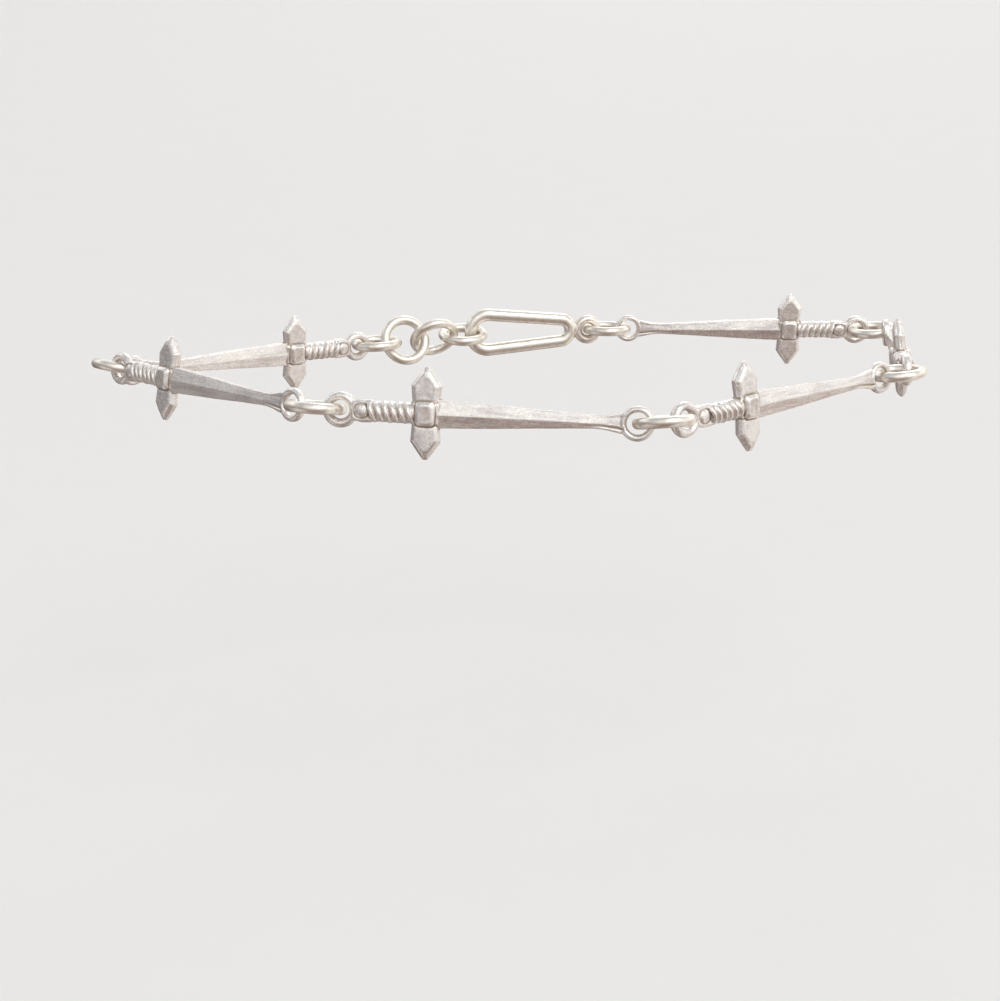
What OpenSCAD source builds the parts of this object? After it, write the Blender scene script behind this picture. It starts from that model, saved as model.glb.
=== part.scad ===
// Chain link bracelet of six cast sword links, closed into a loop in the form that it is worn.
// The loop lies level with +Z up. -Y is its front, and the origin is the middle of the space
// inside it. Seen from above, the swords follow one another anticlockwise, pommel first.

/* [Sword link] */
// Distance between the centres of a sword's pommel ring and tip ring
sword_pitch = 26; // [25.5:0.1:26.5]
// Height of the cross guard, from arm tip to arm tip
guard_span = 8.1; // [7.4:0.1:8.8]
// Width of a guard arm at its widest place
guard_arm_w = 2.7; // [2.2:0.1:3]
// Thickness of the guard arms at their flat faces
guard_arm_t = 1.15; // [0.9:0.05:1.4]
// Height of the blade where it leaves the guard
blade_h = 2.5; // [2:0.1:2.8]
// Thickness of the blade at its ridge, next to the guard
blade_t = 1.3; // [1:0.1:1.5]
// Diameter of the grip over its cords
grip_d = 2.05; // [1.8:0.05:2.1]
// Number of cords round the grip
cord_count = 6; // [4:1:7]

/* [Rings] */
// Outer diameter of a pommel ring
pommel_ring_d = 3.2; // [3.2:0.02:3.3]
// Thickness of a pommel ring's wire
pommel_wire = 0.8; // [0.6:0.02:0.8]
// Outer diameter of a tip ring
tip_ring_d = 3.08; // [3:0.02:3.1]
// Thickness of a tip ring's wire
tip_wire = 0.6; // [0.5:0.02:0.62]
// Outer diameter of a jump ring
jump_ring_d = 5.6; // [5.5:0.1:5.7]
// Thickness of a jump ring's wire
jump_wire = 1.02; // [0.9:0.02:1.02]
// Gap that stays between two linked rings
ring_play = 0.14; // [0.12:0.01:0.16]

/* [Clasp] */
// Thickness of the claw's body
claw_wire = 1.4; // [1.2:0.1:1.5]
// Outer width of the claw at its round end
claw_w = 5.4; // [5:0.1:5.8]
// Outer diameter of the claw's eye
eye_d = 3.3; // [3.2:0.1:3.4]
// Thickness of the eye's wire
eye_wire = 1; // [0.8:0.05:1]

/* [Finish] */
// Colour of the cast swords
cast_colour = "#c9c2bd"; // [#c9c2bd:Worn silver, #e3dfda:Bright silver, #a7a19d:Dark silver]
// Colour of the drawn wire
wire_colour = "#ddd6c8"; // [#ddd6c8:Bright silver, #c9c2bd:Worn silver, #a7a19d:Dark silver]

/* [Hidden] */
$fn = 48;

// How each visible or hidden sword lies: heading of its point, height of its pommel ring,
// rise of its point, and how far its top edge leans outwards
SWORD_LIE = [
    [-42.9,  0.00,  0.0, -9],
    [ -8.4,  0.00, -1.0, -7],
    [ 38.2, -0.55,  1.5, -7],
    [ 81.5,  0.30, -1.1, -6],
    [178.0, -0.30,  0.0, -3]
];
// The last sword, which is reached backwards from the first one: same columns
LAST_SWORD = [214, -0.9, 0, -4];
// How the chain turns at each jump ring that follows a sword of SWORD_LIE: heading into the
// ring's centre, heading out of it, and how far its outer edge is raised
RING_TURN = [
    [-33, -17, 10],
    [ 13,  39, 12],
    [ 37,  53,  5],
    [119, 149,  5],
    [187, 193,  0]
];
// The same at the ring between the last sword and the first one, gone through backwards
CLOSING_TURN = [110, 67, 11];
// The run of spare rings, backwards from the last sword's pommel: heading to each ring's
// centre, and how far its outer edge is raised. The last row leads to the claw.
SPARE_RUN = [
    [29,   0],
    [25,  68],
    [22, -50],
    [19,  10],
    [17,   0]
];
// Place of the first sword's pommel ring
FIRST_POMMEL = [-39.45, -2.62];

pommel_mid = (pommel_ring_d - pommel_wire) / 2;
tip_mid = (tip_ring_d - tip_wire) / 2;
jump_mid = (jump_ring_d - jump_wire) / 2;
claw_mid = (claw_w - claw_wire) / 2;
eye_mid = (eye_d - eye_wire) / 2;

// A unit step along a heading
function step(heading) = [cos(heading), sin(heading)];

// Distance, seen from above, between the centres of a jump ring and a ring of the given mid
// radius and wire that it pulls on. The pull makes the angle bend with that ring's own line,
// and one centre stands above the other by rise.
function reach(mid, wire, bend, rise = 0) =
    let (
        slack = jump_mid - jump_wire / 2 - wire / 2 - ring_play,
        straight = mid * cos(bend) + sqrt(slack * slack - pow(mid * sin(bend), 2))
    )
    sqrt(straight * straight - rise * rise);

// Places of the rings, seen from above, going forwards from the first pommel ring
function pommel_xy(i) = i == 0 ? FIRST_POMMEL
    : jump_xy(i - 1) + step(RING_TURN[i - 1][1])
        * reach(pommel_mid, pommel_wire, SWORD_LIE[i][0] - RING_TURN[i - 1][1]);
function tip_xy(i) = pommel_xy(i) + step(SWORD_LIE[i][0]) * sword_pitch * cos(SWORD_LIE[i][2]);
function jump_xy(i) = tip_xy(i) + step(RING_TURN[i][0])
    * reach(tip_mid, tip_wire, RING_TURN[i][0] - SWORD_LIE[i][0]);

// Places of the rings going backwards from the first pommel ring
closing_rise = (SWORD_LIE[0][1] - LAST_SWORD[1]) / 2;
closing_xy = FIRST_POMMEL + step(CLOSING_TURN[0])
    * reach(pommel_mid, pommel_wire, SWORD_LIE[0][0] + 180 - CLOSING_TURN[0], closing_rise);
last_tip_xy = closing_xy + step(CLOSING_TURN[1])
    * reach(tip_mid, tip_wire, LAST_SWORD[0] - 180 - CLOSING_TURN[1], closing_rise);
last_pommel_xy = last_tip_xy - step(LAST_SWORD[0]) * sword_pitch * cos(LAST_SWORD[2]);
spare_count = len(SPARE_RUN) - 1;
function spare_xy(i) = i == 0
    ? last_pommel_xy + step(SPARE_RUN[0][0])
        * reach(pommel_mid, pommel_wire, SPARE_RUN[0][0] - LAST_SWORD[0] + 180)
    : spare_xy(i - 1) + step(SPARE_RUN[i][0]) * reach(jump_mid, jump_wire, 0);
claw_xy = spare_xy(spare_count - 1) + step(SPARE_RUN[spare_count][0]) * reach(claw_mid, claw_wire, 0);
eye_xy = jump_xy(4) + step(RING_TURN[4][1]) * reach(eye_mid, eye_wire, 0);

// Heights of the rings
function pommel_z(i) = SWORD_LIE[i][1];
function tip_z(i) = SWORD_LIE[i][1] + sword_pitch * sin(SWORD_LIE[i][2]);
last_tip_z = LAST_SWORD[1] + sword_pitch * sin(LAST_SWORD[2]);
eye_z = tip_z(4);
spare_rise = (eye_z - LAST_SWORD[1]) / (spare_count + 1);
function spare_z(i) = LAST_SWORD[1] + (i + 1) * spare_rise;

claw_place = [claw_xy.x, claw_xy.y, spare_z(spare_count)];
eye_place = [eye_xy.x, eye_xy.y, eye_z];
clasp_pitch = norm(claw_place - eye_place);

// How far a tilted jump ring's centre stands above the rings that pull on its inner side
function lift(turn) = jump_mid * sin(abs(turn[1] - turn[0]) / 2) * sin(turn[2]);

// Places of the rings in space
function pommel_place(i) = [pommel_xy(i).x, pommel_xy(i).y, pommel_z(i)];
function tip_place(i) = [tip_xy(i).x, tip_xy(i).y, tip_z(i)];
function spare_place(i) = [spare_xy(i).x, spare_xy(i).y, spare_z(i)];
last_pommel_place = [last_pommel_xy.x, last_pommel_xy.y, LAST_SWORD[1]];
last_tip_place = [last_tip_xy.x, last_tip_xy.y, last_tip_z];

// Guard, measured along the sword from the centre of the pommel ring
guard_x = 0.2935 * sword_pitch;
// Guard block: size over its edge and over its flat face, and thickness at both
block = [1.75, 2.15];
block_face = [1.25, 1.6];
block_edge_t = 1.6;
block_t = 2.1;
block_corner = 0.3;
block_face_corner = 0.2;
// Collar that the block, the grip and the blade grow out of: length, height and thickness
collar = [2.3, 1.9, 1.3];
collar_corner = 0.1;
// Share of an arm's thickness that its upright edge keeps below the bevels
arm_edge_share = 0.4;
// A guard arm from root to tip: height and half width of its upright edge, then of its flat
// face. Heights are shares of half the guard's span, widths of the arm's own.
ARM = [
    [0.17, 0.45, 0.17, 0.24],
    [0.61, 0.50, 0.57, 0.35],
    [1.00, 0.07, 0.80, 0.05]
];
// Grip: where its cords start and end, and how far they lean
cords_from = 2.85;
cords_to = 6.2;
cord_lean = 20;
cord_wire = 0.6;
// Share of a cord's thickness that stands above the core, and how far the core runs on
// into the neck
cord_proud = 0.75;
core_seat = 0.5;
// Neck between pommel ring and grip, and the ball in it that shows as a low boss on each
// face. NECK gives the neck's place as a share of the pommel ring's radius, and its half
// height as a share of neck_h.
neck_h = 2;
neck_t = 1.1;
NECK = [[0.72, 0.42], [1.2, 0.5]];
ball_x = 1.95;
ball_d = 1.6;

// Blade sections: place as a share of the sword's pitch, height as a share of blade_h,
// thickness of the edge and of the ridge as shares of blade_t, and how far the ridge lies
// below the middle as a share of half the height there
BLADE = [
    [0.320, 1.00, 0.62, 1.00, 0.05],
    [0.438, 0.90, 0.58, 0.96, 0.05],
    [0.588, 0.75, 0.55, 0.88, 0.08],
    [0.700, 0.62, 0.52, 0.80, 0.10],
    [0.792, 0.53, 0.48, 0.70, 0.16],
    [0.869, 0.47, 0.44, 0.60, 0.30],
    [0.912, 0.57, 0.42, 0.56, 0.36],
    [0.942, 0.73, 0.40, 0.52, 0.38],
    [0.957, 0.80, 0.36, 0.48, 0.38]
];

// Size of the claw's end by the eye, as a share of its round end, and how deep it sits in
// the eye, as a share of its own thickness
claw_near_share = 0.62;
claw_seat = 0.25;
// Sections round the claw's far end and its end by the eye, and sides of each section
claw_far_steps = 14;
claw_near_steps = 8;
claw_sides = 12;

// Lays its children at a place, with their +X along run, turned about that line by roll.
// The outside of the bracelet is -Y of the children.
module lie(place, run, roll = 0) {
    translate(place)
        rotate([roll, -asin(run.z / norm(run)), atan2(run.y, run.x)])
            children();
}

// A closed ring of round wire, level, about the origin
module wire_ring(mid, wire) {
    rotate_extrude()
        translate([mid, 0]) circle(d = wire);
}

// The same ring standing on edge along X, as the swords' own rings do
module standing_ring(mid, wire) {
    rotate([90, 0, 0]) wire_ring(mid, wire);
}

// A flat plate that stands in the sword's own plane
module standing_plate(thickness) {
    rotate([90, 0, 0])
        linear_extrude(height = thickness, center = true)
            children();
}

// A solid through a row of sections, each a closed list of points with the same count. The
// row either ends in two flat caps or, where it is a loop, runs back to its first section.
module loft(sections, loop = false) {
    n = len(sections[0]);
    count = len(sections);
    spans = loop ? count : count - 1;
    polyhedron(
        points = [for (section = sections) each section],
        faces = [
            if (!loop) [for (i = [n - 1 : -1 : 0]) i],
            for (s = [0 : spans - 1], i = [0 : n - 1])
                let (
                    next = (s + 1) % count * n,
                    a = s * n + i, b = s * n + (i + 1) % n,
                    c = next + (i + 1) % n, d = next + i
                )
                each [[a, c, d], [a, b, c]],
            if (!loop) [for (i = [0 : n - 1]) (count - 1) * n + i]
        ]
    );
}

// Pommel: the ring, the neck behind it and the ball
module pommel() {
    outline = [
        for (row = NECK) [row[0] * pommel_ring_d / 2, row[1] * neck_h],
        [cords_from, neck_h / 2]
    ];
    standing_ring(pommel_mid, pommel_wire);
    standing_plate(neck_t)
        polygon([
            each outline,
            for (i = [len(outline) - 1 : -1 : 0]) [outline[i].x, -outline[i].y]
        ]);
    translate([ball_x, 0, 0]) sphere(d = ball_d);
}

// Grip: a round core wound with cords that lean from top left to bottom right
module grip() {
    core_d = grip_d - cord_wire * cord_proud;
    pitch = (cords_to - cords_from) / (cord_count - 1);
    translate([cords_from - core_seat, 0, 0])
        rotate([0, 90, 0]) cylinder(d = core_d, h = guard_x - cords_from + core_seat);
    for (i = [0 : cord_count - 1])
        translate([cords_from + i * pitch, 0, 0])
            rotate([0, 90 - cord_lean, 0])
                wire_ring((grip_d - cord_wire) / 2, cord_wire);
}

// One arm of the guard, pointing up: an upright edge under wide bevels and a flat face
module guard_arm() {
    module outline(height, width)
        polygon([
            for (row = ARM) [row[width] * guard_arm_w, row[height] * guard_span / 2],
            for (i = [len(ARM) - 1 : -1 : 0])
                [-ARM[i][width] * guard_arm_w, ARM[i][height] * guard_span / 2]
        ]);
    hull() {
        standing_plate(guard_arm_t * arm_edge_share) outline(0, 1);
        standing_plate(guard_arm_t) outline(2, 3);
    }
}

// A rectangle with its corners cut off
module cut_rectangle(size, corner) {
    x = size.x / 2;
    y = size.y / 2;
    polygon([
        [x - corner, y], [x, y - corner], [x, corner - y], [x - corner, -y],
        [corner - x, -y], [-x, corner - y], [-x, y - corner], [corner - x, y]
    ]);
}

// Cross guard: two arms, the collar and the raised block in the middle
module guard() {
    guard_arm();
    mirror([0, 0, 1]) guard_arm();
    standing_plate(collar.z) cut_rectangle([collar.x, collar.y], collar_corner);
    hull() {
        standing_plate(block_edge_t) cut_rectangle(block, block_corner);
        standing_plate(block_t) cut_rectangle(block_face, block_face_corner);
    }
}

// Blade: upright edges and two sloping faces on each side that meet in a ridge
module blade() {
    loft([
        for (s = BLADE)
            let (
                x = s[0] * sword_pitch, top = s[1] * blade_h / 2,
                edge = s[2] * blade_t / 2, ridge = s[3] * blade_t / 2,
                ridge_z = -s[4] * top
            )
            [[x, -edge, top], [x, edge, top], [x, ridge, ridge_z],
             [x, edge, -top], [x, -edge, -top], [x, -ridge, ridge_z]]
    ]);
}

// One whole casting, with its pommel ring about the origin and its point along +X
module sword() {
    color(cast_colour) {
        pommel();
        grip();
        translate([guard_x, 0, 0]) guard();
        blade();
        translate([sword_pitch, 0, 0]) standing_ring(tip_mid, tip_wire);
    }
}

module sword_link(i) {
    lie(pommel_place(i), tip_place(i) - pommel_place(i), SWORD_LIE[i][3]) sword();
}

module last_sword_link() {
    lie(last_pommel_place, last_tip_place - last_pommel_place, LAST_SWORD[3]) sword();
}

// A jump ring between the two rings that it links, with its centre's place seen from above
// and its height over the middle of the two
module jump_ring(xy, before, after, outer_edge_up, rise = 0) {
    color(wire_colour)
        lie([xy.x, xy.y, (before.z + after.z) / 2 + rise], after - before, -outer_edge_up)
            wire_ring(jump_mid, jump_wire);
}

// Jump ring that follows a sword of SWORD_LIE
module link_ring(i) {
    after = i == len(SWORD_LIE) - 1 ? eye_place : pommel_place(i + 1);
    jump_ring(jump_xy(i), tip_place(i), after, RING_TURN[i][2], lift(RING_TURN[i]));
}

// Jump ring between the last sword and the first one
module closing_ring() {
    jump_ring(closing_xy, last_tip_place, pommel_place(0), CLOSING_TURN[2], lift(CLOSING_TURN));
}

// Spare ring of the run between the claw and the last sword, counted from that sword
module spare_ring(i) {
    before = i == spare_count - 1 ? claw_place : spare_place(i + 1);
    after = i == 0 ? last_pommel_place : spare_place(i - 1);
    jump_ring(spare_xy(i), before, after, SPARE_RUN[i][1]);
}

// Claw clasp in one piece: an eye, and a rounded loop that narrows towards it. The loop
// follows an arc round the far end and a smaller one by the eye; the lines between the
// ends of the two arcs touch both.
module claw() {
    small_mid = claw_mid * claw_near_share;
    small_x = eye_d / 2 + small_mid + claw_wire * claw_seat;
    taper = asin((claw_mid - small_mid) / (clasp_pitch - small_x));
    far_turn = 180 + 2 * taper;
    near_turn = 360 - far_turn;
    // Centre, radius and direction of each section's place
    places = [
        for (i = [0 : claw_far_steps])
            [clasp_pitch, claw_mid, far_turn * (i / claw_far_steps - 0.5)],
        for (i = [0 : claw_near_steps])
            [small_x, small_mid, 180 + near_turn * (i / claw_near_steps - 0.5)]
    ];
    color(wire_colour) {
        standing_ring(eye_mid, eye_wire);
        loft([
            for (p = places)
                [for (i = [0 : claw_sides - 1])
                    let (
                        turn = 360 * i / claw_sides,
                        out = p[1] + cos(turn) * claw_wire / 2
                    )
                    [p[0] + out * cos(p[2]), -sin(turn) * claw_wire / 2, out * sin(p[2])]]
        ], loop = true);
    }
}

module clasp() {
    lie(eye_place, claw_place - eye_place) claw();
}

sword_link(0);  // sword_link_1
sword_link(1);  // sword_link_2
sword_link(2);  // sword_link_3
sword_link(3);  // sword_link_4
sword_link(4);  // sword_link_5
last_sword_link();  // sword_link_6
link_ring(0);  // jump_ring_1
link_ring(1);  // jump_ring_2
link_ring(2);  // jump_ring_3
link_ring(3);  // jump_ring_4
link_ring(4);  // jump_ring_5
spare_ring(3);  // jump_ring_6
spare_ring(2);  // jump_ring_7
spare_ring(1);  // jump_ring_8
spare_ring(0);  // jump_ring_9
closing_ring();  // jump_ring_10
clasp();
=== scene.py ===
# %% [markdown]
# A bracelet of small silver swords
#
# Six cast swords, ten round jump rings and a plain claw clasp make one closed chain that
# keeps the form it is worn in. The solids already say where every link lies. This lesson
# gives each link the surface of the real one: soft cast edges, dark hollows, bright worn
# ridges, and wire rings with a creamy shine.
#
# Every link is made at the origin in millimetres, and then laid on its solid.

# %% Load the solids that everything is laid on
import math

import bmesh
import bpy
import numpy as np
from mathutils import Matrix, Vector, noise


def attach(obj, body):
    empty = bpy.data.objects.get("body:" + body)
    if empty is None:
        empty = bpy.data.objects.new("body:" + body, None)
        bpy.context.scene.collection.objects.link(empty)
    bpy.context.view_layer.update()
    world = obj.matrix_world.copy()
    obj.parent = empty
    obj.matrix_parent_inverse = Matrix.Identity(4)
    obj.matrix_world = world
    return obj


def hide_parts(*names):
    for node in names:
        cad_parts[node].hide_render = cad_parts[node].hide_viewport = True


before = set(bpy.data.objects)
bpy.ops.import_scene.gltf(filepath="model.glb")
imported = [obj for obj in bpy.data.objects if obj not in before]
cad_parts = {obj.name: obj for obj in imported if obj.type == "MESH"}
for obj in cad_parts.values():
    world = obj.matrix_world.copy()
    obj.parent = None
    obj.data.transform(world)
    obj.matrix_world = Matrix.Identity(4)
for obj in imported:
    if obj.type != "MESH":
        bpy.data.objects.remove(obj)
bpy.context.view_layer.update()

MM = 0.001

# %% [markdown]
# The chain in order
#
# Each link pulls on the next, so a link's own line always points along this list. That is
# enough to tell a sword's point from its pommel later on.

# %% Name the links in the order in which they hold each other
CHAIN = [
    "sword_link_1", "jump_ring_1", "sword_link_2", "jump_ring_2", "sword_link_3", "jump_ring_3",
    "sword_link_4", "jump_ring_4", "sword_link_5", "jump_ring_5", "clasp", "jump_ring_6",
    "jump_ring_7", "jump_ring_8", "jump_ring_9", "sword_link_6", "jump_ring_10",
]
SWORDS = [name for name in CHAIN if name.startswith("sword")]
RINGS = [name for name in CHAIN if name.startswith("jump")]
print("swords:", len(SWORDS), "jump rings:", len(RINGS), "and one clasp")

# %% [markdown]
# Reading a link's place from its solid
#
# A solid's surface has a middle and three directions in which it spreads most, less and
# least. For a sword those are its length, its guard and its thickness, and for a ring the
# least one is the line through its hole. Both come from the second moments of the
# surface, so no place has to be typed in twice.


# %% Find a solid's middle and its own directions
def surface_corners(name):
    """The corners of a solid's triangles, in millimetres, as an array of triangle, corner, axis."""
    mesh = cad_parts[name].data
    mesh.calc_loop_triangles()
    corners = np.zeros(len(mesh.loop_triangles) * 3, np.int32)
    mesh.loop_triangles.foreach_get("vertices", corners)
    points = np.zeros(len(mesh.vertices) * 3)
    mesh.vertices.foreach_get("co", points)
    return points.reshape(-1, 3)[corners].reshape(-1, 3, 3) / MM


def middle_and_spread(corners):
    """Middle of a surface, and its directions as rows, from the widest spread to the least."""
    edges = corners[:, 1:] - corners[:, :1]
    areas = np.linalg.norm(np.cross(edges[:, 0], edges[:, 1]), axis=1) / 2
    sums = corners.sum(axis=1)
    middle = (areas @ sums) / 3 / areas.sum()
    rows = np.concatenate([sums, corners[:, 0], corners[:, 1], corners[:, 2]])
    rows[:len(sums)] -= 3 * middle
    rows[len(sums):] -= middle
    weights = np.tile(areas, 4) / 12
    moments = (rows * weights[:, None]).T @ rows
    return middle, np.linalg.eigh(moments)[1][:, ::-1].T


MIDDLES = {name: middle_and_spread(surface_corners(name)) for name in CHAIN}
print("middle of the first sword in mm:", MIDDLES["sword_link_1"][0].round(2))

# %% [markdown]
# From directions to a placing matrix
#
# A link's +X runs towards the next link, its +Y points into the loop, and its +Z is the
# upright that is left. The same rule places the swords, the rings and the clasp. A ring
# differs in one way: the line through its hole is its least direction, and not its
# thickness, so its frame is turned to have that as +Z.


# %% Build the matrix that lays a link on its solid
def neighbour(name, offset):
    """Middle of the link that stands offset places further on in the chain."""
    return MIDDLES[CHAIN[(CHAIN.index(name) + offset) % len(CHAIN)]][0]


def placing(name, start_x=None):
    """Matrix from a link's own millimetres to metres in the frame. start_x is the place of the
    link's lowest end along its own +X. Without it the link's middle is its origin."""
    middle, (along, _, least) = MIDDLES[name]
    if name.startswith("jump"):
        upright = least * np.sign(least[2] or 1.0)
        forward = neighbour(name, 1) - neighbour(name, -1)
        along = forward - (forward @ upright) * upright
        along /= np.linalg.norm(along)
    else:
        along = along * np.sign(along @ (neighbour(name, 1) - neighbour(name, -1)))
        inward = least * np.sign(least @ (-middle * [1, 1, 0]))
        upright = np.cross(along, inward)
    inward = np.cross(upright, along)
    origin = middle
    if start_x is not None:
        lowest = (surface_corners(name).reshape(-1, 3) @ along).min()
        origin = middle + (lowest - start_x - middle @ along) * along
    matrix = Matrix.Identity(4)
    for column, values in enumerate((along, inward, upright, origin)):
        for row in range(3):
            matrix[row][column] = values[row] * MM
    return matrix


# %% [markdown]
# The sizes of a link
#
# A few sizes drive everything, and they are the solids' own, in millimetres. The swords
# are castings from one mould, so one mesh serves all six.

# %% Set the driving sizes
SWORD_PITCH = 26.0
POMMEL_RING = 3.2
POMMEL_WIRE = 0.8
POMMEL_DEPTH = 0.95
TIP_RING = 3.08
TIP_WIRE = 0.6
TIP_DEPTH = 0.8
JUMP_RING = 5.6
JUMP_WIRE = 1.02
GRIP = 2.05
BLADE_H = 2.5
BLADE_T = 1.3
GUARD_X = 0.2935 * SWORD_PITCH
GUARD_SPAN = 8.1
ARM_W = 2.7
ARM_T = 1.15

PLACES = {name: placing(name, -POMMEL_RING / 2) for name in SWORDS}
PLACES.update({name: placing(name) for name in RINGS})
for name in SWORDS[:2]:
    far = PLACES[name] @ Vector((SWORD_PITCH, 0, 0))
    print(name, "pommel ring at", [round(v / MM, 2) for v in PLACES[name].translation],
          "tip ring at", [round(v / MM, 2) for v in far])

# %% [markdown]
# Writing nodes as sentences
#
# Geometry and shader trees are made of the same kind of thing: nodes whose sockets hold a
# number or a link. One small class adds any node, and a second one wraps a socket so that
# ordinary arithmetic on it adds the Math nodes.


# %% Wrap node trees so that they can be written as expressions
class Value:
    """A socket that can be calculated with, such as 1 - mask * 0.5."""

    def __init__(self, graph, socket):
        self.graph, self.socket = graph, socket

    def out(self, name):
        """Another output of the same node."""
        return Value(self.graph, self.socket.node.outputs[name])

    def __add__(self, other):
        return self.graph.maths("ADD", self, other)

    def __sub__(self, other):
        return self.graph.maths("SUBTRACT", self, other)

    def __rsub__(self, other):
        return self.graph.maths("SUBTRACT", other, self)

    def __mul__(self, other):
        return self.graph.maths("MULTIPLY", self, other)

    def __abs__(self):
        return self.graph.maths("ABSOLUTE", self)

    __radd__ = __add__
    __rmul__ = __mul__


class Graph:
    """A node tree, with one method that adds any node."""

    def __init__(self, tree):
        self.tree = tree

    def add(self, kind, settings=None, sockets=None, output=0):
        """Adds a node: first its settings or a ramp's stops, then its sockets' values or links."""
        node = self.tree.nodes.new(kind)
        for name, value in (settings or {}).items():
            if name == "stops":
                for _ in range(2, len(value)):
                    node.color_ramp.elements.new(1.0)
                for element, (place, colour) in zip(node.color_ramp.elements, value):
                    element.position, element.color = place, (*colour, 1.0)
            else:
                setattr(node, name, value)
        for key, value in (sockets or {}).items():
            if isinstance(value, Value):
                self.tree.links.new(value.socket, node.inputs[key])
            else:
                node.inputs[key].default_value = value
        return Value(self, node.outputs[output]) if len(node.outputs) else node

    def maths(self, operation, *operands):
        return self.add("ShaderNodeMath", {"operation": operation}, dict(enumerate(operands)))


print("node helpers are ready")

# %% [markdown]
# A ring of wire
#
# The jump rings, the two ends of each sword and the eye of the clasp are all rings of wire.
# A ring is a circle swept by a smaller circle, and Geometry Nodes do exactly that: Curve to
# Mesh runs a profile along a path. The tree has named inputs, so one tree makes every ring
# here.


# %% Grow a mesh from a Geometry Nodes tree
def new_tree(name, inputs):
    """An empty geometry tree with the given named inputs, and its graph and input values."""
    tree = bpy.data.node_groups.new(name, "GeometryNodeTree")
    for label, (kind, default) in inputs.items():
        socket = tree.interface.new_socket(label, in_out="INPUT", socket_type=kind)
        if default is not None:
            socket.default_value = default
    tree.interface.new_socket("Geometry", in_out="OUTPUT", socket_type="NodeSocketGeometry")
    graph = Graph(tree)
    entry = graph.add("NodeGroupInput")
    return tree, graph, {label: entry.out(label) for label in inputs}


def finish_tree(graph, geometry, material):
    """Realizes what the tree made, shades it smooth and gives it its material."""
    real = graph.add("GeometryNodeRealizeInstances", None, {"Geometry": geometry})
    smooth = graph.add("GeometryNodeSetShadeSmooth", None, {"Geometry": real})
    painted = graph.add("GeometryNodeSetMaterial", None, {"Geometry": smooth, "Material": material})
    graph.add("NodeGroupOutput", None, {"Geometry": painted})


def grow(tree, **inputs):
    """Evaluates a tree with the given inputs and returns the result as a plain mesh."""
    seed = bpy.data.objects.new(tree.name + "_seed", bpy.data.meshes.new(tree.name + "_seed"))
    bpy.context.scene.collection.objects.link(seed)
    modifier = seed.modifiers.new(tree.name, "NODES")
    modifier.node_group = tree
    for item in tree.interface.items_tree:
        label = item.name.replace(" ", "_").lower()
        if item.in_out == "INPUT" and label in inputs:
            modifier[item.identifier] = inputs[label]
    view = bpy.context.evaluated_depsgraph_get()
    mesh = bpy.data.meshes.new_from_object(seed.evaluated_get(view))
    seed.modifiers.remove(modifier)
    bpy.data.objects.remove(seed)
    return mesh


# %% Build the tree that makes a ring of wire
def swept_circle(graph, radius, wire, steps, sides):
    """Nodes that sweep a small circle round a big one. Each size is a number or a link."""
    path = graph.add("GeometryNodeCurvePrimitiveCircle", None,
                     {"Resolution": steps, "Radius": radius})
    section = graph.add("GeometryNodeCurvePrimitiveCircle", None,
                        {"Resolution": sides, "Radius": wire * 0.5})
    return graph.add("GeometryNodeCurveToMesh", None, {"Curve": path, "Profile Curve": section})


def wire_ring_tree():
    tree, graph, given = new_tree("wire_ring", {
        "Middle Radius": ("NodeSocketFloat", 1.0),
        "Wire": ("NodeSocketFloat", 0.5),
        "Steps Round": ("NodeSocketInt", 96),
        "Sides": ("NodeSocketInt", 24),
        "Material": ("NodeSocketMaterial", None),
    })
    swept = swept_circle(graph, given["Middle Radius"], given["Wire"], given["Steps Round"],
                         given["Sides"])
    finish_tree(graph, swept, given["Material"])
    return tree


WIRE_RING = wire_ring_tree()


def wire_ring(outer, wire, steps=96, sides=24, material=None):
    """A level ring of round wire about the origin, from its outer diameter and wire."""
    return grow(WIRE_RING, middle_radius=(outer - wire) / 2, wire=wire, steps_round=steps,
                sides=sides, material=material)


print("the tree for a ring of wire has", len(WIRE_RING.nodes), "nodes")

# %% [markdown]
# The parts of one casting
#
# A sword is carved as one model and cast in one piece. The parts below are closed shapes
# that overlap, as lumps of wax would, in a sword's own frame: +X to the point, +Z up in
# its plane, and -Y out of its face. A later step melts them into one skin.


# %% Make closed shapes from outlines and sections
def as_mesh(shape, name):
    """Turns a shape that bmesh built into a plain mesh."""
    mesh = bpy.data.meshes.new(name)
    shape.to_mesh(mesh)
    shape.free()
    return mesh


def joined(name, meshes):
    """One mesh that holds several, which are used up."""
    shape = bmesh.new()
    for mesh in meshes:
        shape.from_mesh(mesh)
        bpy.data.meshes.remove(mesh)
    return as_mesh(shape, name)


def skinned(sections, ring=False):
    """A closed mesh through sections, which are lists of points with the same count. Its two
    ends get flat caps, unless the row is a ring that runs back to its start."""
    count, sides = len(sections), len(sections[0])
    shape = bmesh.new()
    rows = [[shape.verts.new(point) for point in section] for section in sections]
    for i in range(count if ring else count - 1):
        for j in range(sides):
            k, after = (j + 1) % sides, (i + 1) % count
            shape.faces.new((rows[i][j], rows[i][k], rows[after][k], rows[after][j]))
    if not ring:
        shape.faces.new(rows[0][::-1])
        shape.faces.new(rows[-1])
    bmesh.ops.recalc_face_normals(shape, faces=shape.faces)
    return as_mesh(shape, "skinned")


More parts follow.
